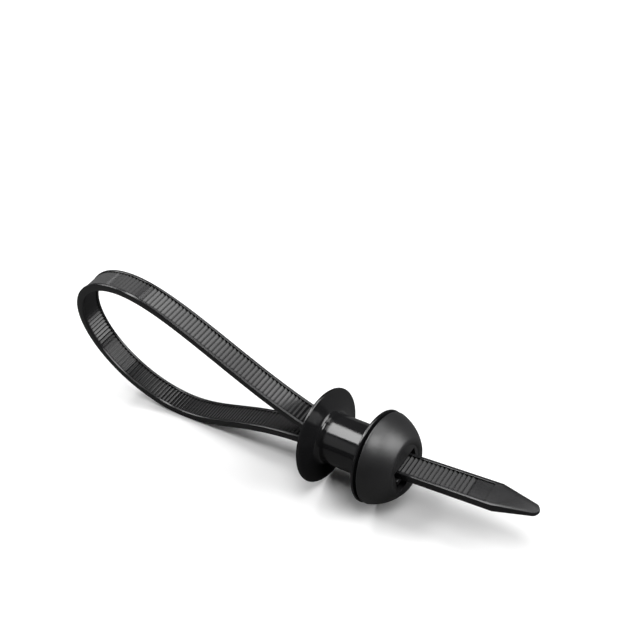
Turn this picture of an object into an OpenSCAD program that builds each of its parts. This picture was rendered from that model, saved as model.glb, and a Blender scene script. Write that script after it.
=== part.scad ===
// Double locking cable tie with a spool shaped head, closed in a loop.
// One moulding: the strap grows out of the back of the head, runs round the
// loop, enters the back of the head again and leaves it through the dome.
// The head's axis runs along X. The tie stands on the belly of its loop and
// on the rims of its head, with the middle of its footprint at the origin.

/* [Strap] */
// Width of the strap
strap_w = 9; // [7.5:0.5:10]
// Thickness of the strap over its side rails
strap_t = 3; // [2.6:0.1:3.4]
// Width of each side rail
rail_w = 1; // [0.8:0.1:1.4]
// Height of the rails above the tooth tips
rail_lip = 0.25; // [0.1:0.05:0.4]
// Height of a tooth
tooth_h = 0.45; // [0.3:0.05:0.6]
// Distance from tooth to tooth
tooth_pitch = 1.6; // [1.4:0.1:2.4]

/* [Loop] */
// Distance from the back of the head to the far end of the loop
loop_l = 108.2; // [100:1:125]
// Height of the loop's top above the head's axis
loop_top = 42; // [36:1:50]
// Depth of the loop's belly below the head's axis
loop_belly = 18; // [16:0.5:24]
// Height of the loop's far end above the head's axis
loop_end_z = 14.7; // [8:0.5:20]
// Distance from the back of the head to the loop's top
top_x = 78.6; // [70:1:86]
// Distance from the back of the head to the loop's belly
belly_x = 71.4; // [60:1:80]
// Height at which the strap enters the back of the head
mouth_z = 3.8; // [3.4:0.1:4.4]
// Slope of the strap where it enters the head
mouth_angle = 19; // [12:1:24]
// Depth below the axis at which the strap grows out of the head
root_z = 2.4; // [2.2:0.1:3.2]

/* [Head] */
// Diameter of the rear flange
flange_d = 33.4; // [30:0.2:36]
// Thickness of the rear flange at its rim
rim_t = 1; // [0.8:0.1:1.6]
// Extra thickness of the rear flange where it meets the core
dish_t = 1.2; // [0.6:0.1:2]
// Diameter of the core between the flanges
core_d = 17.5; // [16:0.5:20]
// Free length between the two flange rims
spool_gap = 20; // [16:0.5:24]
// Radius of the fillets at the ends of the core
core_fillet = 0.4; // [0.2:0.1:1.2]
// Diameter of the thin front flange
disc_d = 31.8; // [28:0.2:33]
// Thickness of the front flange
disc_t = 0.9; // [0.6:0.1:1.4]
// Width of the narrow groove behind the dome
groove_w = 1.2; // [0.8:0.1:2]
// Depth of the narrow groove
groove_depth = 3; // [1.5:0.5:4]
// Diameter of the dome at its rim
dome_d = 31.6; // [29:0.2:33]
// Height of the dome
dome_h = 12.3; // [11:0.1:14]

/* [Lock] */
// Width across the hollow in the front of the dome
hollow_d = 18; // [17:0.2:19]
// Depth of the hollow's floor below the tip of the dome
hollow_depth = 3.7; // [3.3:0.1:4]
// Slope of the hollow's wall
hollow_slope = 35; // [30:1:40]
// Radius of the rounding between the hollow and the dome
hollow_round = 2; // [1:0.1:2.4]
// Width of the window in the hollow
window_w = 12.4; // [11.4:0.2:12.8]
// Height of the window above the strap's middle
window_up = 2.5; // [2.2:0.1:3]
// Depth of the hollow's and the window's sill below the strap's middle
sill_drop = 5.4; // [5:0.1:6]
// Thickness of the dome's wall round the window
wall_t = 1.5; // [1.2:0.1:2]
// Depth of the pawl pocket below the tip of the dome
pocket_l = 13.5; // [13:0.5:15]
// Thickness of a pawl behind its teeth
pawl_t = 2; // [1.4:0.1:2.6]
// Number of teeth on each pawl
pawl_teeth = 4; // [2:1:5]
// Room for a pawl to give way behind it
flex = 1.4; // [1:0.1:1.8]
// Running clearance round the strap inside the head
clear = 0.3; // [0.2:0.05:0.5]

/* [Tail] */
// Length of the tail outside the dome
tail_l = 43; // [36:1:60]
// Slope at which the tail rises from the head's axis
tail_angle = 5.25; // [0:0.25:8]
// Height of the tail above the axis at the tip of the dome
exit_z = 0.8; // [0:0.1:1.6]
// Length of the smooth stretch after the last tooth
smooth_l = 6.5; // [4:0.5:10]
// Length of the flat plate at the tip
plate_l = 15.8; // [14.5:0.5:20]
// Length of the tip's taper
taper_l = 13.6; // [10:0.2:14]
// Radius of the tip's rounded end
tip_r = 2; // [1.4:0.1:2.6]
// Thickness of the tip at its end
tip_t = 1.4; // [1:0.1:2]

/* [Hidden] */
$fn = 96;
black = "#232427";
// Sunk length and width that make two solids one
bite = 0.4;

// Levels of the strap's two faces, measured from its middle
face = strap_t / 2;
tooth_tip = face - rail_lip;
tooth_root = tooth_tip - tooth_h;
floor_level = tooth_root + tooth_h / 2;
channel_w = strap_w - 2 * rail_w;
// Shares of the pitch that a tooth's ramp and its flat take up
ramp_share = 0.6;
flat_share = 0.22;

// Stations along the head's axis
disc_x = rim_t + spool_gap;
dome_x = disc_x + disc_t + groove_w;
exit_x = dome_x + dome_h;
floor_x = exit_x - hollow_depth;
pocket_x = exit_x - pocket_l;
flange_r = flange_d / 2;
core_r = core_d / 2;
disc_r = disc_d / 2;
dome_r = dome_d / 2;
// Radius of the ball that the dome is the end of
ball_r = (dome_r ^ 2 + dome_h ^ 2) / (2 * dome_h);
ball = [0, exit_x - ball_r];

// The hollow's half section: foot and rim of its wall, and the ball that rounds its rim
wall_up = heading(hollow_slope);
wall_out = [-wall_up[1], wall_up[0]];
hollow_rim = [hollow_d / 2, ball[1] + sqrt(ball_r ^ 2 - hollow_d ^ 2 / 4)];
hollow_foot = hollow_rim - wall_up * (hollow_rim[1] - floor_x) / wall_up[1];
near = hollow_foot - hollow_round * wall_out - ball;
slide = sqrt((near * wall_up) ^ 2 - near * near + (ball_r - hollow_round) ^ 2) - near * wall_up;
round_mid = ball + near + slide * wall_up;
round_wall = round_mid + hollow_round * wall_out;
round_ball = ball + (round_mid - ball) * ball_r / norm(round_mid - ball);
// The dome's nose ends flat, level with the hollow's rim, and is rounded likewise
nose_x = hollow_rim[1];
nose_mid = [sqrt((ball_r - hollow_round) ^ 2 - (nose_x - hollow_round - ball[1]) ^ 2), nose_x - hollow_round];
nose_ball = ball + (nose_mid - ball) * ball_r / norm(nose_mid - ball);

// The strap's middle line, in the upright plane X Z, from the tip of the tail
function heading(angle) = [cos(angle), sin(angle)];
function bend(a, b, c, d, count) =
    [for (i = [1:count]) let (t = i / count, u = 1 - t)
        u ^ 3 * a + 3 * u * u * t * b + 3 * u * t * t * c + t ^ 3 * d];
function quarter(centre, rx, rz, from, count) =
    [for (i = [1:count]) let (angle = from + 90 * i / count)
        centre + [rx * cos(angle), rz * sin(angle)]];

exit = [exit_x, exit_z];
mouth = [0, mouth_z];
top = [-top_x, loop_top];
belly = [-belly_x, -loop_belly];
root = [0, -root_z];
tail_dir = heading(tail_angle);
mouth_dir = heading(180 - mouth_angle);
// How far each bend leans on its end directions, as shares of its span
passage_pull = exit_x * 0.35;
rise_pull = top_x * 0.43;
crest_pull = top_x * 0.31;
trough_pull = belly_x * 0.29;
return_pull = belly_x * 0.45;

line = concat(
    [exit + tail_l * tail_dir, exit],
    bend(exit, exit - passage_pull * tail_dir, mouth - passage_pull * mouth_dir, mouth, 30),
    bend(mouth, mouth + rise_pull * mouth_dir, top + [crest_pull, 0], top, 80),
    quarter([-top_x, loop_end_z], loop_l - top_x, loop_top - loop_end_z, 90, 60),
    quarter([-belly_x, loop_end_z], loop_l - belly_x, loop_end_z + loop_belly, 180, 60),
    bend(belly, belly + [trough_pull, 0], root - [return_pull, 0], root, 80),
    [root + [rim_t + bite, 0]]);

// Places along that line, told by their distance s from the tip of the tail
run = [for (i = 0, s = 0; i < len(line);
        s = s + (i + 1 < len(line) ? norm(line[i + 1] - line[i]) : 0), i = i + 1) s];
x_table = [for (i = [0:len(line) - 1]) [run[i], line[i][0]]];
z_table = [for (i = [0:len(line) - 1]) [run[i], line[i][1]]];
function at(s) = [lookup(s, x_table), lookup(s, z_table)];
function outward(s) = let (d = at(s + tooth_pitch / 2) - at(s - tooth_pitch / 2)) [d[1], -d[0]] / norm(d);
function level(s, height) = at(s) + height * outward(s);

run_end = run[len(run) - 1];
teeth_from = plate_l + smooth_l;
teeth_to = run_end - rim_t - 3;
tooth_count = floor((teeth_to - teeth_from) / tooth_pitch);
rail_steps = ceil((run_end - plate_l) / tooth_pitch);

// The pose: turned until the belly and the rear rim touch one level floor
belly_low = belly - [0, face];
rim_low = [rim_t / 2, -flange_r];
rest_tilt = atan((rim_low[1] - belly_low[1]) / (rim_low[0] - belly_low[0]));
function laid(p) = [p[0] * cos(rest_tilt) + p[1] * sin(rest_tilt),
                    p[1] * cos(rest_tilt) - p[0] * sin(rest_tilt)];
skin = [for (i = [0:rail_steps]) laid(level(plate_l + i * (run_end - plate_l) / rail_steps, face))];
rims = [laid(rim_low), laid([disc_x + disc_t / 2, -disc_r]), laid([dome_x, -dome_r])];
floor_z = min([for (p = concat(skin, rims)) p[1]]);
rear_x = min([for (p = skin) p[0]]);
front_x = laid(line[0])[0];

// Points of a row of teeth on one face, from one tooth to another
function teeth(first, last, side, gap) =
    [for (i = [first:last], k = [0:2])
        let (s = teeth_from + (i + [0, ramp_share, ramp_share + flat_share][k]) * tooth_pitch)
        level(s, side * (gap + (k == 0 ? tooth_root : tooth_tip)))];
function reversed(list) = [for (i = [len(list) - 1:-1:0]) list[i]];

// A side view drawn in X Z, given a width along Y
module across(width, middle = 0) {
    translate([0, middle + width / 2, 0]) rotate([90, 0, 0]) linear_extrude(width) children();
}

// A band of even thickness that follows the strap from one distance to another
module band(from, to, half) {
    steps = ceil((to - from) / tooth_pitch);
    stations = [for (i = [0:steps]) from + (to - from) * i / steps];
    polygon(concat([for (s = stations) level(s, half)], [for (s = reversed(stations)) level(s, -half)]));
}

module toothed_web() {
    across(channel_w + 2 * bite)
        polygon(concat(
            [level(plate_l - bite, floor_level), level(teeth_from - tooth_pitch / 4, floor_level)],
            teeth(0, tooth_count - 1, 1, 0),
            [level(teeth_to, floor_level), level(run_end, floor_level),
             level(run_end, -floor_level), level(teeth_to, -floor_level)],
            reversed(teeth(0, tooth_count - 1, -1, 0)),
            [level(teeth_from - tooth_pitch / 4, -floor_level), level(plate_l - bite, -floor_level)]));
}

module rails() {
    for (side = [-1, 1])
        across(rail_w, side * (strap_w - rail_w) / 2) band(plate_l - bite, run_end, face);
}

// Outline of the tip in plan: parallel sides, a straight taper, a round end
module tip_plan() {
    end_x = tail_l - tip_r;
    corner = [tail_l - taper_l, strap_w / 2];
    reach = [end_x, 0] - corner;
    lean = atan2(-reach[1], reach[0]) - asin(tip_r / norm(reach));
    touch = [end_x, 0] + tip_r * [sin(lean), cos(lean)];
    polygon([[tail_l - plate_l, -corner[1]], [corner[0], -corner[1]], [touch[0], -touch[1]],
             [end_x, 0], touch, corner, [tail_l - plate_l, corner[1]]]);
    translate([end_x, 0]) circle(tip_r);
}

module tip() {
    translate([exit_x, 0, exit_z]) rotate([0, -tail_angle, 0]) intersection() {
        translate([0, 0, -strap_t]) linear_extrude(2 * strap_t) tip_plan();
        across(strap_w + 1)
            polygon([[tail_l - plate_l, -face], [tail_l - taper_l, -face], [tail_l, -tip_t / 2],
                     [tail_l, tip_t / 2], [tail_l - taper_l, face], [tail_l - plate_l, face]]);
    }
}

// Half section of the head, radius across and distance from the back upwards
module head_section() {
    web_x = rim_t + dish_t;
    square([flange_r - rim_t / 2, rim_t]);
    translate([flange_r - rim_t / 2, rim_t / 2]) circle(d = rim_t);
    polygon([[0, rim_t / 2], [flange_r - rim_t / 2, rim_t / 2], [flange_r - rim_t, rim_t],
             [core_r, web_x], [0, web_x]]);
    square([core_r, disc_x + disc_t]);
    for (end = [[web_x, 0], [disc_x, 1]])
        translate([core_r, end[0]]) mirror([0, end[1]]) difference() {
            translate([-bite, -bite]) square(core_fillet + bite);
            translate([core_fillet, core_fillet]) circle(core_fillet);
            translate([core_fillet, -bite]) square(core_fillet + bite);
        }
    translate([0, disc_x]) square([disc_r - disc_t / 2, disc_t]);
    translate([disc_r - disc_t / 2, disc_x + disc_t / 2]) circle(d = disc_t);
    translate([0, disc_x]) square([dome_r - groove_depth, disc_t + groove_w + bite]);
    intersection() {
        translate(ball) circle(ball_r);
        translate([0, dome_x]) square([ball_r + 1, dome_h + 1]);
    }
}

// Half section of what the hollow takes out of the dome, its rim rounded
module hollow_section() {
    polygon([[0, floor_x], hollow_foot, hollow_foot + hollow_d * wall_up, [0, exit_x + hollow_d]]);
    difference() {
        polygon([round_wall, round_ball, round_mid + 2 * (round_wall + round_ball - 2 * round_mid)]);
        translate(round_mid) circle(hollow_round);
    }
}

// Half section of what the flat nose takes off the ball
module nose_section() {
    difference() {
        polygon([[0, nose_x], nose_mid + [0, hollow_round], nose_ball, 2 * nose_ball - nose_mid,
                 [0, exit_x + hollow_d]]);
        translate(nose_mid) circle(hollow_round);
    }
}

// The strap's way through the head, flared where the strap goes in
module tunnel() {
    across(strap_w + 2 * clear) {
        band(tail_l - 1, tail_l + exit_x + 2, face + clear);
        translate([0, mouth_z]) polygon([[-1, face + clear + 1.2], [3, 0], [-1, -face - clear]]);
    }
}

// The hollow down to its sill, the window in it and the wider room behind for the pawls
module pocket() {
    strap_z = at(tail_l + hollow_depth)[1];
    sill_z = strap_z - sill_drop;
    room_z = strap_z + tooth_tip + clear + pawl_t + flex;
    intersection() {
        rotate([0, 90, 0]) rotate_extrude() hollow_section();
        translate([pocket_x, -dome_d / 2, sill_z]) cube(dome_d);
    }
    translate([pocket_x, -window_w / 2, sill_z])
        cube([floor_x - wall_t - pocket_x, window_w, room_z - sill_z]);
    translate([pocket_x, -window_w / 2, sill_z])
        cube([pocket_l, window_w, window_up + sill_drop]);
}

// A sprung finger whose teeth sit between the teeth of the strap
module pawl(side) {
    nose = tail_l + hollow_depth + (side > 0 ? wall_t + clear : 0);
    first = ceil((nose - teeth_from) / tooth_pitch);
    last = first + pawl_teeth - 1;
    end = teeth_from + (last + 1) * tooth_pitch;
    heel = tail_l + pocket_l + bite;
    back = tooth_tip + clear + pawl_t;
    across(channel_w - 2 * clear)
        polygon(concat(
            [level(nose, side * (tooth_tip + clear / 2))],
            teeth(first, last, side, clear / 2),
            [level(end, side * (face + clear)), level(heel, side * (face + clear)),
             level(heel, side * back), level(nose + tooth_pitch, side * back),
             level(nose, side * (back - pawl_t / 3))]));
}

// The lower pawl's wide end, which shows under the strap
module pawl_end() {
    from = tail_l + hollow_depth;
    back = tooth_tip + clear + pawl_t;
    across(window_w - 4 * clear)
        polygon([level(from, -face - clear), level(from + wall_t, -face - clear),
                 level(from + wall_t, -back), level(from, -back + pawl_t / 3)]);
}

module head() {
    difference() {
        rotate([0, 90, 0]) rotate_extrude() head_section();
        tunnel();
        pocket();
        rotate([0, 90, 0]) rotate_extrude() nose_section();
    }
    for (side = [-1, 1]) pawl(side);
    pawl_end();
}

module cable_tie() {
    color(black)
        translate([-(rear_x + front_x) / 2, 0, -floor_z]) rotate([0, rest_tilt, 0]) {
            head();
            toothed_web();
            rails();
            tip();
        }
}

cable_tie();
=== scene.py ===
"""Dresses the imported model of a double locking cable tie: toothed strap, glossy spool, matt dome."""

import math

import bmesh
import bpy
from mathutils import Matrix, Vector


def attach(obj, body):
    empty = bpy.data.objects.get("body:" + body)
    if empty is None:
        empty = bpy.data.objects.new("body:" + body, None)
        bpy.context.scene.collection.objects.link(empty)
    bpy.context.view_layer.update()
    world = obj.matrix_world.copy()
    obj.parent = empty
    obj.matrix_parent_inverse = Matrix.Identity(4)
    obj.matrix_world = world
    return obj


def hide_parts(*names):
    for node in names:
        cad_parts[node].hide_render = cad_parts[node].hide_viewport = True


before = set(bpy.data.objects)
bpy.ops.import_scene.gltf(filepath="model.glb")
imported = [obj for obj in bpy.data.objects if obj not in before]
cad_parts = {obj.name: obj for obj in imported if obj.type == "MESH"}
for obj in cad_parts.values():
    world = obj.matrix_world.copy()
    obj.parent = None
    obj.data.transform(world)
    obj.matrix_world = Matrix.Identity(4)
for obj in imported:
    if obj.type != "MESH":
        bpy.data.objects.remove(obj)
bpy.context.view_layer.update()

bl_info = {
    "name": "Cable Tie Dressing",
    "version": (1, 0, 0),
    "blender": (4, 5, 0),
    "location": "3D View > Sidebar > Cable Tie",
    "description": "Models and finishes a double locking cable tie round its packed frame",
    "category": "Object",
}

CAD_NODE = "cable_tie"
BODY = "root"
MM = 0.001
WHOLE_TURN = 2 * math.pi

# Where the back of the head lies on the frame, and how far the tie leans to stand on its belly
HEAD_AT = Vector((0.0153501, 0.0, 0.0167227))
HEAD_LEAN = math.radians(2.2301)

# The strap's route in the head's own frame, as (along the head's axis, up), in metres
EXIT = Vector((0.0354, 0.0008))
MOUTH = Vector((0.0, 0.0038))
LOOP_TOP = Vector((-0.0786, 0.042))
LOOP_BELLY = Vector((-0.0714, -0.018))
LOOP_END = Vector((-0.1082, 0.0147))
ROOT = Vector((0.0, -0.0024))
TAIL_ANGLE = 5.25
MOUTH_ANGLE = 19.0


class StrapSizes(bpy.types.PropertyGroup):
    """Sizes of the toothed strap"""

    width: bpy.props.FloatProperty(
        name="Width", description="Width over the side rails", default=0.009, unit="LENGTH")
    thickness: bpy.props.FloatProperty(
        name="Thickness", description="Thickness over the side rails", default=0.003, unit="LENGTH")
    rail: bpy.props.FloatProperty(
        name="Rail", description="Width of a side rail", default=0.001, unit="LENGTH")
    lip: bpy.props.FloatProperty(
        name="Lip", description="Height of the rails above the teeth", default=0.00025, unit="LENGTH")
    tooth: bpy.props.FloatProperty(
        name="Tooth", description="Height of a tooth", default=0.00045, unit="LENGTH")
    pitch: bpy.props.FloatProperty(
        name="Pitch", description="Distance from tooth to tooth", default=0.0016, unit="LENGTH")
    teeth: bpy.props.IntProperty(
        name="Teeth", description="Number of teeth on each face", default=196, min=8, max=400)
    tail: bpy.props.FloatProperty(
        name="Tail", description="Length of the tail outside the dome", default=0.043, unit="LENGTH")
    smooth: bpy.props.FloatProperty(
        name="Smooth stretch", description="Smooth channel after the last tooth", default=0.0065, unit="LENGTH")
    plate: bpy.props.FloatProperty(
        name="Plate", description="Length of the flat plate at the tip", default=0.0158, unit="LENGTH")
    taper: bpy.props.FloatProperty(
        name="Taper", description="Length of the tip's taper", default=0.0136, unit="LENGTH")
    tip_radius: bpy.props.FloatProperty(
        name="Tip radius", description="Radius of the tip's round end", default=0.002, unit="LENGTH")
    tip_thickness: bpy.props.FloatProperty(
        name="Tip thickness", description="Thickness of the tip at its end", default=0.0014, unit="LENGTH")
    edge: bpy.props.FloatProperty(
        name="Edge", description="Rounding of the strap's outer edges", default=0.0003, unit="LENGTH")
    rail_edge: bpy.props.FloatProperty(
        name="Rail edge", description="Rounding of the rails towards the teeth", default=0.00018, unit="LENGTH")
    tooth_edge: bpy.props.FloatProperty(
        name="Tooth edge", description="Rounding of the teeth and of the channel", default=0.00007, unit="LENGTH")


class HeadSizes(bpy.types.PropertyGroup):
    """Sizes of the spool and the dome"""

    flange: bpy.props.FloatProperty(
        name="Rear flange", description="Diameter of the rear flange", default=0.0334, unit="LENGTH")
    rim: bpy.props.FloatProperty(
        name="Rim", description="Thickness of the rear flange at its rim", default=0.001, unit="LENGTH")
    dish: bpy.props.FloatProperty(
        name="Dish", description="Extra thickness of the rear flange at the core", default=0.0012, unit="LENGTH")
    core: bpy.props.FloatProperty(
        name="Core", description="Diameter of the core", default=0.0175, unit="LENGTH")
    gap: bpy.props.FloatProperty(
        name="Gap", description="Free length between the flange rims", default=0.02, unit="LENGTH")
    fillet: bpy.props.FloatProperty(
        name="Fillet", description="Radius between the core and the front flange", default=0.0004, unit="LENGTH")
    dish_fillet: bpy.props.FloatProperty(
        name="Dish fillet", description="Radius between the dish and the core", default=0.002, unit="LENGTH")
    disc: bpy.props.FloatProperty(
        name="Front flange", description="Diameter of the front flange", default=0.0318, unit="LENGTH")
    disc_thickness: bpy.props.FloatProperty(
        name="Front flange thickness", description="Thickness of the front flange", default=0.0009, unit="LENGTH")
    groove: bpy.props.FloatProperty(
        name="Groove", description="Width of the groove behind the dome", default=0.0012, unit="LENGTH")
    groove_depth: bpy.props.FloatProperty(
        name="Groove depth", description="Depth of the groove behind the dome", default=0.003, unit="LENGTH")
    dome: bpy.props.FloatProperty(
        name="Dome", description="Diameter of the dome at its rim", default=0.0316, unit="LENGTH")
    dome_height: bpy.props.FloatProperty(
        name="Dome height", description="Height of the dome", default=0.0123, unit="LENGTH")
    hollow: bpy.props.FloatProperty(
        name="Hollow", description="Width across the hollow in the dome", default=0.018, unit="LENGTH")
    hollow_depth: bpy.props.FloatProperty(
        name="Hollow depth", description="Depth of the hollow's floor", default=0.0037, unit="LENGTH")
    hollow_slope: bpy.props.FloatProperty(
        name="Hollow slope", description="Slope of the hollow's wall", default=math.radians(35), subtype="ANGLE")
    hollow_round: bpy.props.FloatProperty(
        name="Hollow rounding", description="Rounding between hollow and dome", default=0.002, unit="LENGTH")
    window: bpy.props.FloatProperty(
        name="Window", description="Width of the window in the hollow", default=0.0124, unit="LENGTH")
    window_up: bpy.props.FloatProperty(
        name="Window height", description="Height of the window above the strap", default=0.0025, unit="LENGTH")
    sill: bpy.props.FloatProperty(
        name="Sill", description="Depth of the window's sill below the strap", default=0.0054, unit="LENGTH")
    wall: bpy.props.FloatProperty(
        name="Wall", description="Thickness of the dome's wall round the window", default=0.0015, unit="LENGTH")
    pawl: bpy.props.FloatProperty(
        name="Pawl", description="Thickness of a pawl", default=0.002, unit="LENGTH")
    clearance: bpy.props.FloatProperty(
        name="Clearance", description="Clearance round the strap in the head", default=0.0003, unit="LENGTH")
    steps: bpy.props.IntProperty(
        name="Steps", description="Faces round the head", default=144, min=24, max=360)


class NylonFinish(bpy.types.PropertyGroup):
    """Colours and gloss of the black nylon"""

    colour: bpy.props.FloatVectorProperty(
        name="Colour", description="Colour of the black nylon", subtype="COLOR", size=3,
        default=(0.011, 0.011, 0.0117), min=0.0, max=1.0)
    spool_roughness: bpy.props.FloatProperty(
        name="Spool roughness", description="Roughness of the polished spool", default=0.13, min=0.0, max=1.0)
    dome_roughness: bpy.props.FloatProperty(
        name="Dome roughness", description="Roughness of the spark eroded dome", default=0.4, min=0.0, max=1.0)
    strap_roughness: bpy.props.FloatProperty(
        name="Strap roughness", description="Roughness of the strap", default=0.21, min=0.0, max=1.0)


class StudioSettings(bpy.types.PropertyGroup):
    """The pale floor, its lamps and the camera"""

    floor_size: bpy.props.FloatProperty(
        name="Floor", description="Side of the floor", default=6.0, unit="LENGTH")
    floor_tone: bpy.props.FloatProperty(
        name="Floor tone", description="Reflectance of the floor", default=0.9, min=0.0, max=1.0)
    floor_lift: bpy.props.FloatProperty(
        name="Floor lift", description="Light that the camera sees added to the floor", default=0.006,
        min=0.0, max=1.0)
    floor_mirrored: bpy.props.FloatProperty(
        name="Mirrored floor", description="Tone of the floor in the tie's gloss", default=0.09, min=0.0, max=1.0)
    surroundings: bpy.props.FloatProperty(
        name="Surroundings", description="Tone of what the tie mirrors beside the lamps", default=0.02,
        min=0.0, max=1.0)
    lens: bpy.props.FloatProperty(
        name="Lens", description="Focal length of the camera in millimetres", default=54.04)


PALETTE = (StrapSizes, HeadSizes, NylonFinish, StudioSettings)


# ---- Selecting, cutting and finishing by hand ----

def deselect():
    """Leaves object mode clean, with nothing selected."""
    if bpy.context.object and bpy.context.object.mode != "OBJECT":
        bpy.ops.object.mode_set(mode="OBJECT")
    bpy.ops.object.select_all(action="DESELECT")


def only(*objects):
    """Selects these objects alone; the first is the active one."""
    deselect()
    for each in objects:
        each.select_set(True)
    bpy.context.view_layer.objects.active = objects[0]


def edit(piece):
    """Opens the piece in edit mode with nothing selected."""
    only(piece)
    bpy.ops.object.mode_set(mode="EDIT")
    bpy.ops.mesh.select_mode(type="VERT")
    bpy.ops.mesh.select_all(action="DESELECT")


def close():
    bpy.ops.object.mode_set(mode="OBJECT")


def pick(piece, kind, wanted):
    """Selects the vertices, edges or faces for which wanted says yes."""
    bpy.ops.mesh.select_mode(type=kind)
    bpy.ops.mesh.select_all(action="DESELECT")
    mesh = bmesh.from_edit_mesh(piece.data)
    mesh.normal_update()
    parts = {"VERT": mesh.verts, "EDGE": mesh.edges, "FACE": mesh.faces}[kind]
    chosen = [part for part in parts if wanted(part)]
    if not chosen:
        raise RuntimeError("nothing to select on " + piece.name)
    for part in chosen:
        part.select_set(True)
    bmesh.update_edit_mesh(piece.data)


def cut(point, normal, **options):
    """Cuts everything in edit mode along a plane."""
    bpy.ops.mesh.select_all(action="SELECT")
    bpy.ops.mesh.bisect(plane_co=point, plane_no=normal, **options)


def middle(edge):
    return (edge.verts[0].co + edge.verts[1].co) / 2


def block(name, low, high):
    """A cube primitive between two corners, with its place in its mesh."""
    deselect()
    size = Vector(high) - Vector(low)
    bpy.ops.mesh.primitive_cube_add(size=1, location=(Vector(low) + Vector(high)) / 2, scale=size)
    piece = bpy.context.object
    piece.name = piece.data.name = name
    bpy.ops.object.transform_apply(location=True, rotation=True, scale=True)
    return piece


def drawn(name, points):
    """A chain of vertices drawn one after another from a primitive's merged corner."""
    deselect()
    bpy.ops.mesh.primitive_plane_add(size=MM, location=(0, 0, 0))
    piece = bpy.context.object
    piece.name = piece.data.name = name
    edit(piece)
    bpy.ops.mesh.select_all(action="SELECT")
    bpy.ops.mesh.merge(type="CENTER")
    bpy.ops.mesh.select_all(action="SELECT")
    bpy.ops.transform.translate(value=points[0])
    for here, there in zip(points, points[1:]):
        bpy.ops.mesh.extrude_vertices_move(TRANSFORM_OT_translate={"value": there - here})
    close()
    return piece


def turned(name, points, steps):
    """A profile of (along the axis, radius) points spun round the head's axis and closed."""
    piece = drawn(name, [Vector((along, 0.0, radius)) for along, radius in points])
    edit(piece)
    bpy.ops.mesh.select_all(action="SELECT")
    bpy.ops.mesh.spin(steps=steps, angle=WHOLE_TURN, center=(0, 0, 0), axis=(1, 0, 0), dupli=False)
    bpy.ops.mesh.select_all(action="SELECT")
    bpy.ops.mesh.remove_doubles(threshold=2e-6)
    bpy.ops.mesh.select_all(action="SELECT")
    bpy.ops.mesh.dissolve_degenerate(threshold=1e-6)
    bpy.ops.mesh.select_all(action="SELECT")
    bpy.ops.mesh.normals_make_consistent(inside=False)
    close()
    return piece


def apply(piece, kind, **settings):
    """Adds a modifier, sets it up and applies it."""
    only(piece)
    modifier = piece.modifiers.new(kind.title(), kind)
    for key, value in settings.items():
        setattr(modifier, key, value)
    bpy.ops.object.modifier_apply(modifier=modifier.name)


def carve(piece, tool):
    """Cuts the tool's shape out of the piece and throws the tool away."""
    apply(piece, "BOOLEAN", operation="DIFFERENCE", solver="MANIFOLD", object=tool)
    scrap(tool)


def weld(piece, *others):
    """Unites closed shells into one."""
    for other in others:
        apply(piece, "BOOLEAN", operation="UNION", solver="MANIFOLD", object=other)
        scrap(other)


def scrap(tool):
    mesh = tool.data
    bpy.data.objects.remove(tool)
    if isinstance(mesh, bpy.types.Mesh):
        bpy.data.meshes.remove(mesh)


def join(piece, *others):
    """Makes one mesh of several and merges the corners that they share."""
    only(piece, *others)
    bpy.ops.object.join()
    edit(piece)
    bpy.ops.mesh.select_all(action="SELECT")
    bpy.ops.mesh.remove_doubles(threshold=2e-6)
    bpy.ops.mesh.select_all(action="SELECT")
    bpy.ops.mesh.normals_make_consistent(inside=False)
    close()


def laid(piece):
    """Puts a piece made in the head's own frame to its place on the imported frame."""
    only(piece)
    piece.rotation_euler = (0, HEAD_LEAN, 0)
    piece.location = HEAD_AT
    bpy.ops.object.transform_apply(location=True, rotation=True, scale=True)


def finished(piece, material, smooth_angle):
    """Shades, paints and hands a piece to the frame."""
    only(piece)
    bpy.ops.object.shade_smooth_by_angle(angle=smooth_angle)
    piece.data.materials.clear()
    piece.data.materials.append(material)
    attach(piece, BODY)
    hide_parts(CAD_NODE)


# ---- The strap's route ----

def heading(degrees):
    return Vector((math.cos(math.radians(degrees)), math.sin(math.radians(degrees))))


def bend(a, b, c, d, count):
    """Points of a cubic bend, without its first."""
    points = []
    for i in range(1, count + 1):
        t = i / count
        u = 1 - t
        points.append(u ** 3 * a + 3 * u * u * t * b + 3 * u * t * t * c + t ** 3 * d)
    return points


def quarter(centre, reach, rise, start, count):
    """Points of a quarter ellipse, without its first."""
    angles = [math.radians(start + 90 * i / count) for i in range(1, count + 1)]
    return [centre + Vector((reach * math.cos(a), rise * math.sin(a))) for a in angles]


def route(tail):
    """The strap's middle line from the tip of the tail round to its root."""
    out = heading(TAIL_ANGLE)
    back = heading(180 - MOUTH_ANGLE)
    passage, rise, crest = EXIT.x * 0.35, -LOOP_TOP.x * 0.43, -LOOP_TOP.x * 0.31
    trough, home = -LOOP_BELLY.x * 0.29, -LOOP_BELLY.x * 0.45
    points = [EXIT + tail * out, EXIT]
    points += bend(EXIT, EXIT - passage * out, MOUTH - passage * back, MOUTH, 30)
    points += bend(MOUTH, MOUTH + rise * back, LOOP_TOP + Vector((crest, 0)), LOOP_TOP, 80)
    points += quarter(Vector((LOOP_TOP.x, LOOP_END.y)), LOOP_TOP.x - LOOP_END.x,
                      LOOP_TOP.y - LOOP_END.y, 90, 60)
    points += quarter(Vector((LOOP_BELLY.x, LOOP_END.y)), LOOP_BELLY.x - LOOP_END.x,
                      LOOP_END.y - LOOP_BELLY.y, 180, 60)
    points += bend(LOOP_BELLY, LOOP_BELLY + Vector((trough, 0)), ROOT - Vector((home, 0)), ROOT, 80)
    return points + [ROOT + Vector((0.0014, 0))]


def line_length(points):
    return sum((b - a).length for a, b in zip(points, points[1:]))


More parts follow.
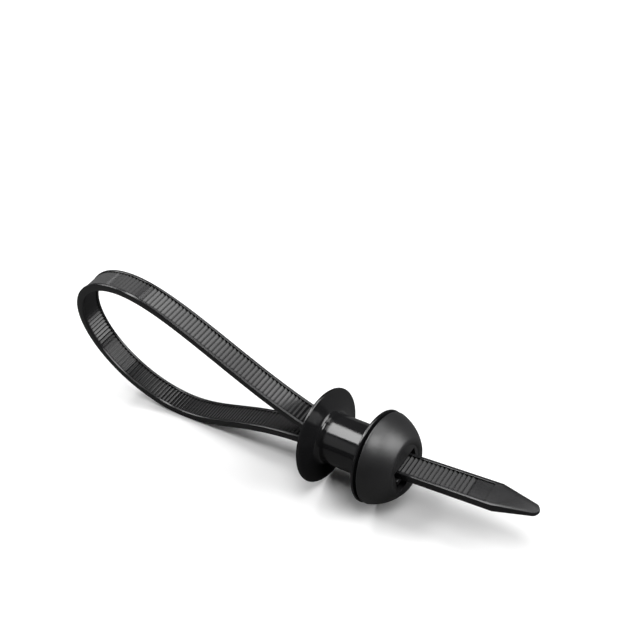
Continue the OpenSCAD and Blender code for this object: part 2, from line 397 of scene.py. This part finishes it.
def route_curve(points):
    """The route as a curve object that a straight strap can be bent along."""
    curve = bpy.data.curves.new("route", "CURVE")
    curve.dimensions = "3D"
    curve.twist_mode = "MINIMUM"
    spline = curve.splines.new("POLY")
    spline.points.add(len(points) - 1)
    for point, place in zip(spline.points, points):
        point.co = (place.x, 0.0, place.y, 1.0)
    holder = bpy.data.objects.new("route", curve)
    bpy.context.collection.objects.link(holder)
    return holder


# ---- Materials ----

def shader(material, kind, place):
    node = material.node_tree.nodes.new(kind)
    node.location = place
    return node


def nylon(name, colour, roughness, grain, depth, worn, shine=0.5):
    """Moulded nylon: a fine grain in its surface and a cloudy change of gloss over it."""
    material = bpy.data.materials.new(name)
    material.use_nodes = True
    link = material.node_tree.links.new
    surface = material.node_tree.nodes["Principled BSDF"]
    surface.inputs["IOR"].default_value = 1.53
    surface.inputs["Specular IOR Level"].default_value = shine
    place = shader(material, "ShaderNodeTexCoord", (-900, 0)).outputs["Object"]

    cloud = shader(material, "ShaderNodeTexNoise", (-700, 200))
    cloud.inputs["Scale"].default_value = 90
    cloud.inputs["Detail"].default_value = 5
    link(place, cloud.inputs["Vector"])
    tone = shader(material, "ShaderNodeMix", (-300, 300))
    tone.data_type = "RGBA"
    tone.inputs["A"].default_value = (*[part * 0.82 for part in colour], 1)
    tone.inputs["B"].default_value = (*[part * 1.22 for part in colour], 1)
    link(cloud.outputs["Fac"], tone.inputs["Factor"])
    link(tone.outputs["Result"], surface.inputs["Base Color"])
    gloss = shader(material, "ShaderNodeMapRange", (-300, 60))
    gloss.inputs["From Min"].default_value = 0.3
    gloss.inputs["From Max"].default_value = 0.7
    gloss.inputs["To Min"].default_value = roughness - worn
    gloss.inputs["To Max"].default_value = roughness + worn
    link(cloud.outputs["Fac"], gloss.inputs["Value"])
    link(gloss.outputs["Result"], surface.inputs["Roughness"])

    fine = shader(material, "ShaderNodeTexNoise", (-700, -200))
    fine.inputs["Scale"].default_value = grain
    fine.inputs["Detail"].default_value = 3
    link(place, fine.inputs["Vector"])
    relief = shader(material, "ShaderNodeBump", (-300, -200))
    relief.inputs["Strength"].default_value = 1.0
    relief.inputs["Distance"].default_value = depth
    link(fine.outputs["Fac"], relief.inputs["Height"])
    link(relief.outputs["Normal"], surface.inputs["Normal"])
    return material


def paint_shade_in_gaps(material, reach):
    """Paints shade into the gaps: where ambient occlusion finds the nylon enclosed, its colour is darkened towards
    near black and its gloss turned down, as painted shade.
    """
    link = material.node_tree.links.new
    surface = material.node_tree.nodes["Principled BSDF"]
    depth = shader(material, "ShaderNodeAmbientOcclusion", (-300, -500))
    depth.only_local = True
    depth.samples = 8
    depth.inputs["Distance"].default_value = reach
    open_part = shader(material, "ShaderNodeMapRange", (-150, -500))
    open_part.inputs["From Min"].default_value = 0.45
    open_part.inputs["From Max"].default_value = 1.0
    link(depth.outputs["AO"], open_part.inputs["Value"])
    # Painted shade: the gloss is lowered in the gaps, following the occlusion.
    shine = shader(material, "ShaderNodeMath", (0, -500))
    shine.operation = "MULTIPLY"
    shine.inputs[1].default_value = 0.43
    link(open_part.outputs["Result"], shine.inputs[0])
    link(shine.outputs["Value"], surface.inputs["Specular IOR Level"])
    tone = surface.inputs["Base Color"].links[0].from_socket
    # Painted shade: the colour is mixed towards near black in the gaps, following the occlusion.
    blend = shader(material, "ShaderNodeMix", (0, 300))
    blend.data_type = "RGBA"
    blend.inputs["A"].default_value = (0.003, 0.003, 0.003, 1)
    link(open_part.outputs["Result"], blend.inputs["Factor"])
    link(tone, blend.inputs["B"])
    link(blend.outputs["Result"], surface.inputs["Base Color"])
    return material


# ---- The pieces ----

def tooth_block(sizes):
    """One pitch of the strap, open at both ends: rails, channel and a tooth on each face."""
    half_w, half_t = sizes.width / 2, sizes.thickness / 2
    channel = half_w - sizes.rail
    piece = block("tie_tooth", (0, -half_w, -half_t), (sizes.pitch, half_w, half_t))
    edit(piece)
    for side in (-1, 1):
        cut((0, side * channel, 0), (0, 1, 0))
    low, high = 0.2, 0.93
    for share in (low, 0.76, 0.865, high):
        cut((share * sizes.pitch, 0, 0), (1, 0, 0), threshold=1e-6)
    for side in (-1, 1):
        pick(piece, "FACE", lambda f: f.normal.z * side > 0.9 and abs(f.calc_center_median().y) < channel)
        bpy.ops.mesh.extrude_region_move(TRANSFORM_OT_translate={"value": (0, 0, -side * sizes.lip)})
    pick(piece, "FACE", lambda f: abs(f.normal.x) > 0.9)
    bpy.ops.mesh.delete(type="FACE")
    for side in (-1, 1):
        pick(piece, "VERT", lambda v: not low < v.co.x / sizes.pitch - 1e-4 < high - 2e-4
             and abs(v.co.y) < channel + 1e-5 and 0 < v.co.z * side < half_t - sizes.lip / 2)
        bpy.ops.transform.translate(value=(0, 0, -side * sizes.tooth))
    pick(piece, "EDGE", lambda e: abs(middle(e).y) < channel - 1e-5 and abs(abs(middle(e).z) - half_t + sizes.lip) < 1e-5
         and all(abs(v.co.x / sizes.pitch - 0.865) < 1e-3 for v in e.verts))
    bpy.ops.mesh.bevel(offset=sizes.tooth_edge, offset_type="OFFSET", segments=1, affect="EDGES")
    close()
    return piece


def tip_block(sizes, length):
    """The strap's end: tapered plate with a round end, then the smooth channel up to the teeth."""
    half_w, half_t = sizes.width / 2, sizes.thickness / 2
    channel = half_w - sizes.rail
    floor = half_t - sizes.lip - sizes.tooth / 2
    piece = block("tie_strap", (0, -half_w, -half_t), (length, half_w, half_t))
    edit(piece)
    for along in (sizes.taper, sizes.plate, length - sizes.pitch / 4):
        cut((along, 0, 0), (1, 0, 0))
    # The straight taper touches the round end, so the end is first cut square at that width
    run = sizes.taper - sizes.tip_radius
    reach = math.hypot(run, half_w)
    slant = math.atan2(half_w, run) - math.asin(sizes.tip_radius / reach)
    end_w = half_w - sizes.taper * math.tan(slant)
    pick(piece, "VERT", lambda v: v.co.x < 1e-5)
    bpy.ops.transform.resize(value=(1, end_w / half_w, sizes.tip_thickness / sizes.thickness),
                             center_override=(0, 0, 0))
    pick(piece, "EDGE", lambda e: middle(e).x < 1e-5 and abs(middle(e).y) > end_w - 1e-5)
    bpy.ops.mesh.bevel(offset=end_w * 0.999, offset_type="OFFSET", segments=12, affect="EDGES",
                       clamp_overlap=True)
    for side in (-1, 1):
        cut((0, side * channel, 0), (0, 1, 0))
    for side in (-1, 1):
        pick(piece, "FACE", lambda f: f.normal.z * side > 0.9 and abs(f.calc_center_median().y) < channel
             and f.calc_center_median().x > sizes.plate)
        bpy.ops.mesh.extrude_region_move(TRANSFORM_OT_translate={"value": (0, 0, side * (floor - half_t))})
    pick(piece, "FACE", lambda f: f.calc_center_median().x > length - 1e-5)
    bpy.ops.mesh.delete(type="FACE")
    for side in (-1, 1):
        pick(piece, "VERT", lambda v: v.co.x > length - 1e-5 and abs(v.co.y) < channel + 1e-5
             and 0 < v.co.z * side < floor + 1e-5)
        bpy.ops.transform.translate(value=(0, 0, -side * sizes.tooth / 2))
    close()
    return piece


def root_block(sizes, start, length):
    """The last of the strap, inside the back of the head."""
    half_w, half_t = sizes.width / 2, sizes.thickness / 2
    channel = half_w - sizes.rail
    root = half_t - sizes.lip - sizes.tooth
    piece = block("tie_root", (start, -half_w, -half_t), (length, half_w, half_t))
    edit(piece)
    for side in (-1, 1):
        cut((0, side * channel, 0), (0, 1, 0))
    for side in (-1, 1):
        pick(piece, "FACE", lambda f: f.normal.z * side > 0.9 and abs(f.calc_center_median().y) < channel)
        bpy.ops.mesh.extrude_region_move(TRANSFORM_OT_translate={"value": (0, 0, side * (root - half_t))})
    pick(piece, "FACE", lambda f: f.calc_center_median().x < start + 1e-5)
    bpy.ops.mesh.delete(type="FACE")
    close()
    return piece


class TIE_OT_strap(bpy.types.Operator):
    """Model the toothed strap straight, then bend it round the loop and through the head"""

    bl_idname = "tie.strap"
    bl_label = "Strap"

    def execute(self, context):
        sizes, finish = context.scene.tie_strap, context.scene.tie_nylon
        points = route(sizes.tail)
        start = sizes.plate + sizes.smooth
        end = start + sizes.teeth * sizes.pitch
        strap = tip_block(sizes, start)
        teeth = tooth_block(sizes)
        apply(teeth, "ARRAY", count=sizes.teeth, use_relative_offset=False, use_constant_offset=True,
              constant_offset_displace=(sizes.pitch, 0, 0), use_merge_vertices=True, merge_threshold=1e-5)
        only(teeth)
        teeth.location.x = start
        bpy.ops.object.transform_apply(location=True)
        join(strap, teeth, root_block(sizes, end, line_length(points)))

        half_w, half_t = sizes.width / 2, sizes.thickness / 2
        edit(strap)
        pick(strap, "EDGE", lambda e: len(e.link_faces) == 2 and e.calc_face_angle(0) > 1.0
             and (middle(e).x < sizes.plate - 1e-5 or abs(middle(e).y) > half_w - 1e-5))
        bpy.ops.mesh.bevel(offset=sizes.edge, offset_type="OFFSET", segments=4, affect="EDGES")
        pick(strap, "EDGE", lambda e: len(e.link_faces) == 2 and e.calc_face_angle(0) > 1.0
             and middle(e).x > sizes.plate + 1e-5 and abs(abs(middle(e).y) - half_w + sizes.rail) < 1e-5
             and abs(middle(e).z) > half_t - 1e-5)
        bpy.ops.mesh.bevel(offset=sizes.rail_edge, offset_type="OFFSET", segments=2, affect="EDGES")
        close()
        apply(strap, "BEVEL", width=sizes.tooth_edge / 4, segments=1, limit_method="ANGLE",
              angle_limit=math.radians(24), use_clamp_overlap=True)
        guide = route_curve(points)
        apply(strap, "CURVE", object=guide, deform_axis="POS_X")
        scrap(guide)
        laid(strap)
        satin = nylon("strap_nylon", finish.colour, finish.strap_roughness, 2600, 0.000002, 0.04)
        # The strap's tooth gaps get painted shade on top of the rendered occlusion.
        finished(strap, paint_shade_in_gaps(satin, 0.0008), math.radians(18))
        return {"FINISHED"}


def arc(centre, radius, start, end, count):
    """Points (along, radius) of an arc, both ends included; angles in degrees from the axis."""
    angles = [math.radians(start + (end - start) * i / count) for i in range(count + 1)]
    return [(centre[0] + radius * math.cos(a), centre[1] + radius * math.sin(a)) for a in angles]


def rolled(along, radius, turns):
    """Points of an edge that rolls over from the rim; turns are pairs of arc radius and degrees reached."""
    here, past, points = Vector((along, radius)), 0.0, [(along, radius)]
    for size, reached in turns:
        centre = here - size * Vector((math.sin(past), math.cos(past)))
        angles = [past + (math.radians(reached) - past) * i / 4 for i in range(1, 5)]
        points += [tuple(centre + size * Vector((math.sin(a), math.cos(a)))) for a in angles]
        here, past = Vector(points[-1]), angles[-1]
    return points


class HeadMarks:
    """Stations and points that the spool and the dome share, from the head's sizes."""

    def __init__(self, sizes, strap):
        self.disc = sizes.rim + sizes.gap
        self.dome = self.disc + sizes.disc_thickness + sizes.groove
        self.tip = self.dome + sizes.dome_height
        self.floor = self.tip - sizes.hollow_depth
        self.ball = ((sizes.dome / 2) ** 2 + sizes.dome_height ** 2) / (2 * sizes.dome_height)
        self.ball_x = self.tip - self.ball
        self.nose = self.ball_x + math.sqrt(self.ball ** 2 - sizes.hollow ** 2 / 4)
        self.strap_z = 0.00046
        self.sill = self.strap_z - sizes.sill


def spool_profile(sizes, marks):
    """Half section of the rear flange, the core and the front flange, ending in the groove."""
    flange, core, disc = sizes.flange / 2, sizes.core / 2, sizes.disc / 2
    back, fillet = 0.00044, sizes.fillet
    points = [(0.0, 0.0)]
    points += arc((back, flange - back), back, 180, 90, 5)
    points += rolled(sizes.rim * 0.46, flange, ((0.00015, 20), (0.0009, 50), (0.0002, 86)))
    # The dish hollows towards the core and runs into it
    slope, deep, face = 16, 0.9 * sizes.dish, points[-1][1]
    foot = core + sizes.dish_fillet * (1 - math.sin(math.radians(slope)))
    points += [(sizes.rim + deep * (0.25 * t + 0.75 * t * t), face + (foot - face) * t)
               for t in (0.15, 0.3, 0.45, 0.6, 0.75, 0.9)]
    turn = sizes.rim + deep + sizes.dish_fillet * math.cos(math.radians(slope))
    points += arc((turn, core + sizes.dish_fillet), sizes.dish_fillet, 180 + slope, 270, 12)
    points += arc((marks.disc - fillet, core + fillet), fillet, 270, 360, 10)
    points += arc((marks.disc + back, disc - back), back, 180, 90, 5)
    points += rolled(marks.disc + sizes.disc_thickness - 0.00034, disc, ((0.0001, 20), (0.0006, 50), (0.00015, 90)))
    points += [(marks.disc + sizes.disc_thickness, sizes.dome / 2 - sizes.groove_depth)]
    points += [(marks.dome + MM, sizes.dome / 2 - sizes.groove_depth), (marks.dome + MM, 0.0)]
    return points


def dome_profile(sizes, marks):
    """Half section of the dome, its rear edge just rounded and its nose flat."""
    rim = sizes.dome / 2
    edge = 0.00013
    start = math.degrees(math.asin(rim / marks.ball))
    points = [(marks.dome, 0.0)]
    points += arc((marks.dome + edge, rim - 0.00012 - edge), edge, 180, 90, 4)
    turn = marks.nose - sizes.hollow_round
    reach = math.sqrt((marks.ball - sizes.hollow_round) ** 2 - (turn - marks.ball_x) ** 2)
    end = math.degrees(math.atan2(reach, turn - marks.ball_x))
    points += arc((marks.ball_x, 0.0), marks.ball, start - 1.6, end, 24)
    points += arc((turn, reach), sizes.hollow_round, end, 0, 8)[1:]
    return points + [(marks.nose, 0.0)]


def hollow_profile(sizes, marks):
    """Half section of what the hollow takes out, its rim rounded into the dome."""
    up = Vector((math.sin(sizes.hollow_slope), math.cos(sizes.hollow_slope)))
    out = Vector((up.y, -up.x))
    ball = Vector((marks.ball_x, 0.0))
    rim = Vector((marks.ball_x + math.sqrt(marks.ball ** 2 - sizes.hollow ** 2 / 4), sizes.hollow / 2))
    foot = rim - up * ((rim.x - marks.floor) / up.x)
    near = foot - sizes.hollow_round * out - ball
    slide = math.sqrt(near.dot(up) ** 2 - near.dot(near) + (marks.ball - sizes.hollow_round) ** 2) - near.dot(up)
    centre = ball + near + slide * up
    first = math.degrees(math.atan2(out.y, out.x))
    away = (centre - ball).normalized()
    last = math.degrees(math.atan2(away.y, away.x))
    points = [(marks.floor, 0.0), (foot.x, foot.y)]
    points += arc((centre.x, centre.y), sizes.hollow_round, first, last, 12)
    lift = ball + away * (marks.ball + 0.0002)
    points += [(lift.x, lift.y), (marks.tip + 0.004, lift.y), (marks.tip + 0.004, 0.0)]
    return points


def passage(sizes, strap):
    """The strap's way through the head, to be cut out of it, flared at the mouth."""
    half_w, half_t = strap.width / 2 + sizes.clearance, strap.thickness / 2 + sizes.clearance
    points = route(strap.tail)
    start, end = strap.tail - MM, strap.tail + EXIT.x + 0.004
    tool = block("passage", (start, -half_w, -half_t), (end, half_w, half_t))
    edit(tool)
    count = 26
    for i in range(1, count):
        cut((start + (end - start) * i / count, 0, 0), (1, 0, 0))
    close()
    guide = route_curve(points)
    apply(tool, "CURVE", object=guide, deform_axis="POS_X")
    scrap(guide)
    flare = block("flare", (-MM, -half_w, MOUTH.y - half_t), (0.003, half_w, MOUTH.y + half_t))
    edit(flare)
    pick(flare, "VERT", lambda v: v.co.x < 0 and v.co.z > MOUTH.y)
    bpy.ops.transform.translate(value=(0, 0, 0.0012))
    pick(flare, "VERT", lambda v: v.co.x > 0.002)
    bpy.ops.transform.resize(value=(1, 1, 0.05), center_override=(0.003, 0, MOUTH.y))
    close()
    return tool, flare


class TIE_OT_spool(bpy.types.Operator):
    """Spin the spool: dished rear flange, plain core and thin front flange"""

    bl_idname = "tie.spool"
    bl_label = "Spool"

    def execute(self, context):
        sizes, strap, finish = context.scene.tie_head, context.scene.tie_strap, context.scene.tie_nylon
        marks = HeadMarks(sizes, strap)
        spool = turned("tie_spool", spool_profile(sizes, marks), sizes.steps)
        for tool in passage(sizes, strap):
            carve(spool, tool)
        laid(spool)
        finished(spool, nylon("spool_nylon", finish.colour, finish.spool_roughness, 900, 0.000006, 0.03),
                 math.radians(35))
        return {"FINISHED"}


class TIE_OT_dome(bpy.types.Operator):
    """Spin the dome and cut its hollow and window, then add the lower pawl's end on its stalk"""

    bl_idname = "tie.dome"
    bl_label = "Dome"

    def execute(self, context):
        sizes, strap, finish = context.scene.tie_head, context.scene.tie_strap, context.scene.tie_nylon
        marks = HeadMarks(sizes, strap)
        dome = turned("tie_dome", dome_profile(sizes, marks), sizes.steps)
        hollow = turned("hollow", hollow_profile(sizes, marks), sizes.steps)
        edit(hollow)
        cut((0, 0, marks.sill), (0, 0, 1), clear_inner=True, use_fill=True)
        close()
        carve(dome, hollow)
        half = sizes.window / 2
        carve(dome, block("window", (marks.dome + 0.0006, -half, marks.sill - 0.00002),
                          (marks.tip + 0.002, half, marks.strap_z + sizes.window_up)))
        # The lower pawl's wide end shows below the strap
        tooth_tip = strap.thickness / 2 - strap.lip
        back = tooth_tip + sizes.clearance + sizes.pawl
        under = marks.strap_z - strap.thickness / 2 - sizes.clearance
        wide = half - 2 * sizes.clearance
        narrow = strap.width / 2 - strap.rail - sizes.clearance
        pawl = block("pawl", (marks.floor - sizes.wall, -wide, marks.strap_z - back), (marks.floor, wide, under))
        apply(pawl, "BEVEL", width=0.00018, segments=2, limit_method="ANGLE")
        stalk = block("stalk", (marks.dome, -narrow, marks.strap_z - back + 0.0003),
                      (marks.floor - 0.0005, narrow, under - sizes.clearance / 2))
        weld(dome, stalk, pawl)
        laid(dome)
        finished(dome, nylon("dome_nylon", finish.colour, finish.dome_roughness, 3200, 0.00002, 0.04, 0.8),
                 math.radians(35))
        return {"FINISHED"}


def soft_box(name, direction, distance, size, brightness):
    """A rectangular soft box of even brightness, hung in a direction seen from the head."""
    aim = Vector((0.026, -0.003, 0.024))
    towards = Vector(direction).normalized()
    deselect()
    bpy.ops.object.light_add(type="AREA", location=aim + towards * distance)
    box = bpy.context.object
    box.name = name
    box.data.shape = "RECTANGLE"
    box.data.size, box.data.size_y = size
    box.data.energy = brightness * math.pi * size[0] * size[1]
    box.rotation_euler = towards.to_track_quat("Z", "Y").to_euler()
    return box


class TIE_OT_stage(bpy.types.Operator):
    """Set up the pale floor, the white surroundings, the soft boxes and the camera"""

    bl_idname = "tie.stage"
    bl_label = "Stage"

    def execute(self, context):
        studio = context.scene.tie_studio
        deselect()
        bpy.ops.mesh.primitive_plane_add(size=studio.floor_size, location=(0, 0, 0))
        floor = bpy.context.object
        floor.name = "floor"
        pale = bpy.data.materials.new("pale_floor")
        pale.use_nodes = True
        link = pale.node_tree.links.new
        surface = pale.node_tree.nodes["Principled BSDF"]
        surface.inputs["Roughness"].default_value = 0.9
        surface.inputs["Specular IOR Level"].default_value = 0.1
        seen = shader(pale, "ShaderNodeLightPath", (-600, 0))
        tone = shader(pale, "ShaderNodeMix", (-300, 0))
        tone.data_type = "RGBA"
        tone.inputs["A"].default_value = (*[studio.floor_mirrored] * 3, 1)
        tone.inputs["B"].default_value = (*[studio.floor_tone] * 3, 1)
        link(seen.outputs["Is Camera Ray"], tone.inputs["Factor"])
        link(tone.outputs["Result"], surface.inputs["Base Color"])
        surface.inputs["Emission Color"].default_value = (1, 1, 1, 1)
        lift = shader(pale, "ShaderNodeMath", (-300, -200))
        lift.operation = "MULTIPLY"
        link(seen.outputs["Is Camera Ray"], lift.inputs[0])
        # Away from the tie, where the soft boxes don't reach, the floor turns plain white
        place = shader(pale, "ShaderNodeTexCoord", (-900, -300))
        away = shader(pale, "ShaderNodeVectorMath", (-700, -300))
        away.operation = "LENGTH"
        link(place.outputs["Object"], away.inputs[0])
        fade = shader(pale, "ShaderNodeMapRange", (-500, -300))
        fade.inputs["From Min"].default_value = 0.2
        fade.inputs["From Max"].default_value = 1.0
        fade.inputs["To Min"].default_value = studio.floor_lift
        fade.inputs["To Max"].default_value = 1.0
        link(away.outputs["Value"], fade.inputs["Value"])
        link(fade.outputs["Result"], lift.inputs[1])
        link(lift.outputs["Value"], surface.inputs["Emission Strength"])
        floor.data.materials.append(pale)

        world = bpy.data.worlds.new("studio")
        context.scene.world = world
        world.use_nodes = True
        link = world.node_tree.links.new
        nodes = world.node_tree.nodes
        around = nodes["Background"]
        around.inputs["Color"].default_value = (*[studio.surroundings] * 3, 1)
        white = nodes.new("ShaderNodeBackground")
        white.inputs["Color"].default_value = (1, 1, 1, 1)
        path = nodes.new("ShaderNodeLightPath")
        mix = nodes.new("ShaderNodeMixShader")
        link(path.outputs["Is Camera Ray"], mix.inputs["Fac"])
        link(around.outputs["Background"], mix.inputs[1])
        link(white.outputs["Background"], mix.inputs[2])
        link(mix.outputs["Shader"], nodes["World Output"].inputs["Surface"])

        soft_box("key_box", (-0.45, 0.09, 0.89), 1.2, (0.95, 0.25), 9.0)
        soft_box("dome_box", (0.735, 0.30, 0.62), 1.2, (0.78, 0.45), 6.2)
        soft_box("low_box", (0.86, 0.46, 0.30), 1.2, (0.65, 0.42), 5.0)
        soft_box("top_box", (0.35, -0.05, 0.94), 1.2, (0.5, 0.45), 9.0)
        soft_box("strap_box", (0.12, 0.498, 0.866), 1.2, (0.8, 0.45), 2.5)
        soft_box("rim_box", (-0.83, 0.04, 0.58), 1.2, (0.6, 0.45), 8.0)
        soft_box("turn_card", (-0.70, 0.39, 0.60), 1.2, (0.3, 0.4), 1.3)
        soft_box("front_card", (-0.455, -0.655, 0.602), 1.2, (0.3, 0.78), 0.4)

        place = Vector((0.186343, -0.150690, 0.250631))
        bpy.ops.object.camera_add(location=place)
        holder = context.object
        holder.name = "camera"
        holder.data.lens = studio.lens
        holder.data.sensor_width = 36.0
        holder.data.clip_start = 0.01
        holder.data.clip_end = 20.0
        holder.rotation_euler = [math.radians(turn) for turn in (49.577, 13.074, 35.332)]
        context.scene.camera = holder
        context.scene.view_settings.view_transform = "Standard"
        return {"FINISHED"}


class TIE_PT_panel(bpy.types.Panel):
    """Lists the steps that model and finish the cable tie"""

    bl_idname = "TIE_PT_panel"
    bl_label = "Cable Tie"
    bl_space_type = "VIEW_3D"
    bl_region_type = "UI"
    bl_category = "Cable Tie"

    def draw(self, context):
        for step in STEPS:
            self.layout.operator(step.bl_idname, text=step.bl_label)


STEPS = (TIE_OT_strap, TIE_OT_spool, TIE_OT_dome, TIE_OT_stage)
SETTINGS = {"tie_strap": StrapSizes, "tie_head": HeadSizes, "tie_nylon": NylonFinish, "tie_studio": StudioSettings}


def register():
    for group in (*PALETTE, *STEPS, TIE_PT_panel):
        bpy.utils.register_class(group)
    for name, group in SETTINGS.items():
        setattr(bpy.types.Scene, name, bpy.props.PointerProperty(type=group))


def unregister():
    for name in SETTINGS:
        delattr(bpy.types.Scene, name)
    for group in reversed((*PALETTE, *STEPS, TIE_PT_panel)):
        bpy.utils.unregister_class(group)


def main():
    register()
    bpy.ops.tie.strap()
    bpy.ops.tie.spool()
    bpy.ops.tie.dome()
    bpy.ops.tie.stage()


if __name__ == "__main__":
    main()
